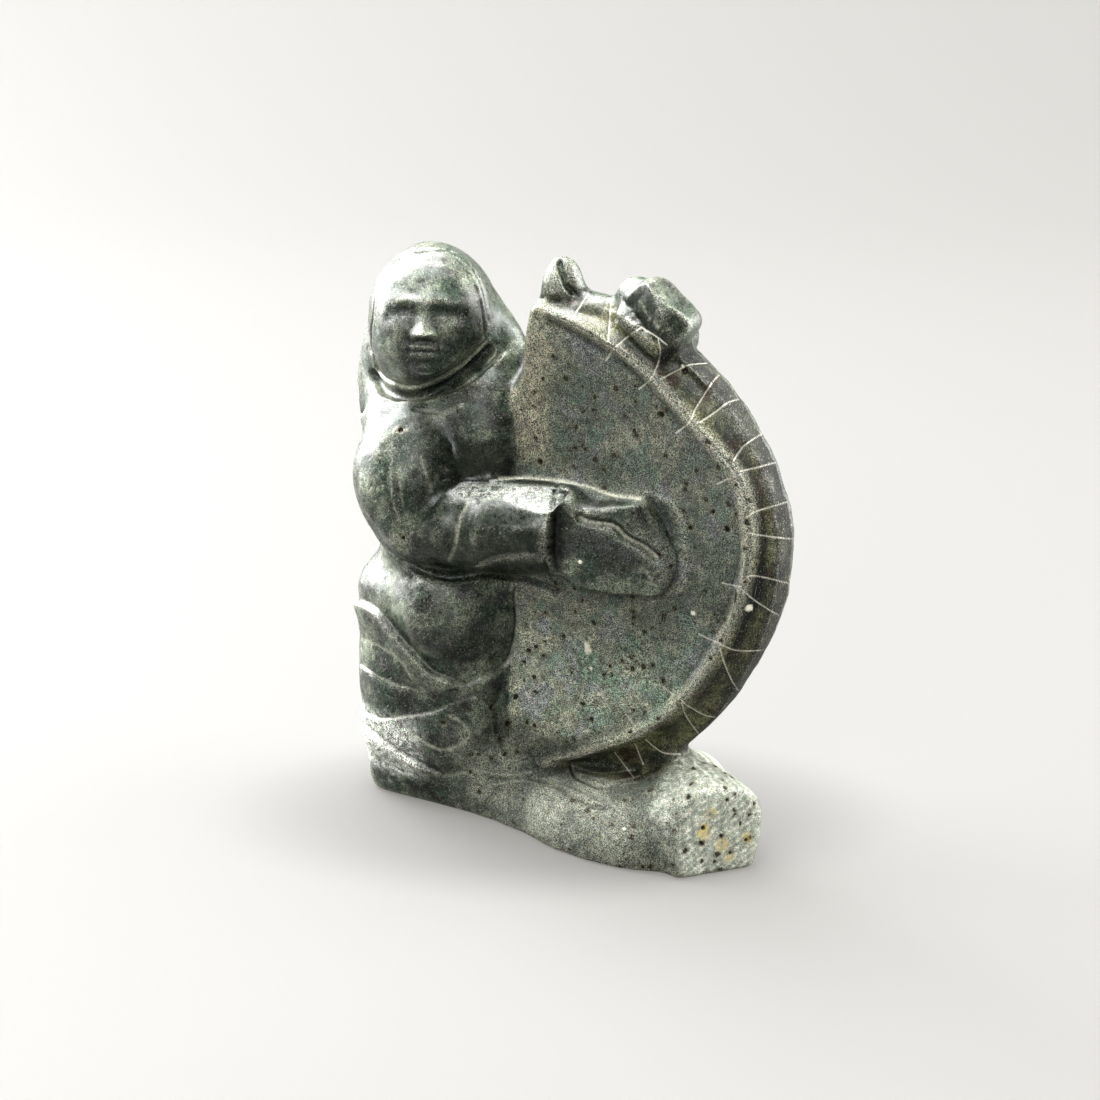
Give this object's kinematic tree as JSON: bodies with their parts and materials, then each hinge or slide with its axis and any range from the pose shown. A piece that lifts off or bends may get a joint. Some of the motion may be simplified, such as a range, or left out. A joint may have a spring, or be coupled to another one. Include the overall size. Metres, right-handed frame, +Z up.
{
  "type": "stone figurine",
  "caption": "Carved stone figurine of a kneeling hooded figure holding a large laced frame drum upright on its base.",
  "frame": {"origin": "on the underside, under the middle of the carving's outline", "axes": "+Z up, -Y the way the figure faces, +X from the figure's body towards the drum's outer rim and the foot"},
  "size_m": [0.1064, 0.0402, 0.1272],
  "materials": {
    "stone": "mottled, hand polished with rasp marks"
  },
  "bodies": {
    "root": {"figurine": "stone"}
  },
  "joints": []
}
